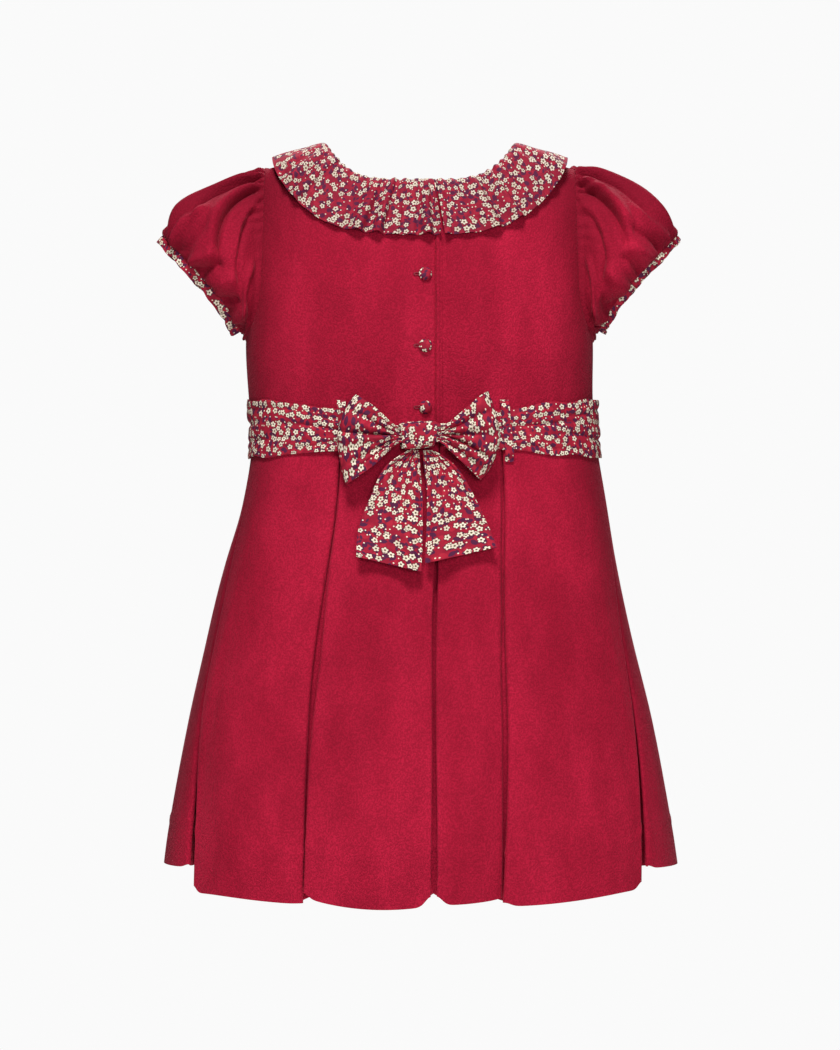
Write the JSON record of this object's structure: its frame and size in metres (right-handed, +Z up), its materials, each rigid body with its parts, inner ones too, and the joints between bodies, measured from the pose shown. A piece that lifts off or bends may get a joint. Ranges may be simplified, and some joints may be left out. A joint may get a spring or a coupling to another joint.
{
  "type": "toddler party dress",
  "caption": "Velvet party dress in its worn form: ruffled collar, puffed sleeves, buttoned back, sash tied in a bow and a pleated skirt.",
  "frame": {"origin": "middle of the shoulder line, where the wearer's shoulders or a hanger carry the dress", "axes": "+Z up; +Y towards the front of the dress, so the back with the bow faces -Y; +X towards the wearer's right"},
  "size_m": [0.3956, 0.2348, 0.5644],
  "materials": {
    "velvet": "crimson cotton velvet with a soft sheen",
    "print": "crimson printed cotton lawn with small cream flowers"
  },
  "bodies": {
    "root": {"bodice_front": "velvet", "bodice_back_left": "velvet", "bodice_back_right": "velvet", "sleeve_left": "velvet", "sleeve_right": "velvet", "skirt_back": "velvet", "skirt_front": "velvet", "neck_binding": "print", "collar_left": "print", "collar_right": "print", "cuff_left": "print", "cuff_right": "print", "sash_band": "print", "belt_loop_left": "print", "belt_loop_right": "print", "bow_loop_left": "print", "bow_loop_right": "print", "bow_knot": "print", "bow_tail_left": "print", "bow_tail_right": "print", "button_top": "print", "button_middle": "print", "button_bottom": "print"}
  },
  "joints": []
}
